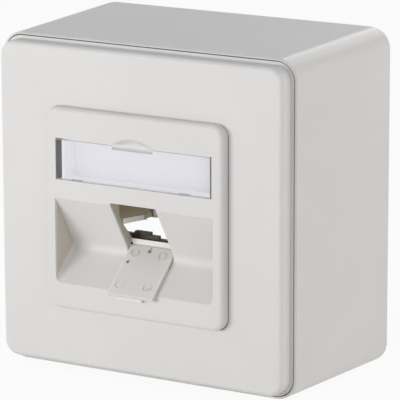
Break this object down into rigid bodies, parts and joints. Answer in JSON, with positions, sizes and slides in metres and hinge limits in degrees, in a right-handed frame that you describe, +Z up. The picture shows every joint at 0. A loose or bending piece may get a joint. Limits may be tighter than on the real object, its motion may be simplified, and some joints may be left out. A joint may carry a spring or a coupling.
{
  "type": "ethernet socket",
  "caption": "On-wall data outlet: deep square housing, cover frame, central plate with label window, slanted recess and an empty port behind a hinged dust flap.",
  "frame": {"origin": "centre of the square face that stands on the wall, in the wall's plane", "axes": "+Y into the wall, so the front looks along -Y; +Z up; +X to the right as seen from the front"},
  "size_m": [0.0832, 0.0522, 0.0832],
  "materials": {
    "housing_plastic": "matt, fine grain",
    "cover_plastic": "smooth, matt",
    "flap_plastic": "smooth, matt",
    "holder_plastic": "matt black",
    "window_clear": "clear",
    "card_paper": "matt",
    "carrier_steel": "zinc plated",
    "screw_steel": "zinc plated"
  },
  "bodies": {
    "outlet": {"surface_housing": "housing_plastic", "cover_frame": "cover_plastic", "central_plate": "cover_plastic", "label_window": "window_clear", "label_card": "card_paper", "module_frame": "holder_plastic", "carrier_plate": "carrier_steel", "carrier_screws": "screw_steel", "plate_screw": "screw_steel"},
    "flap": {"dust_flap": "flap_plastic"}
  },
  "joints": [
    {"name": "flap_hinge", "type": "hinge", "parent": "outlet", "child": "flap", "pos_m": [0, -0.04115, -0.00879], "axis": [1, 0, 0], "range_deg": [-99.2, 0]}
  ]
}
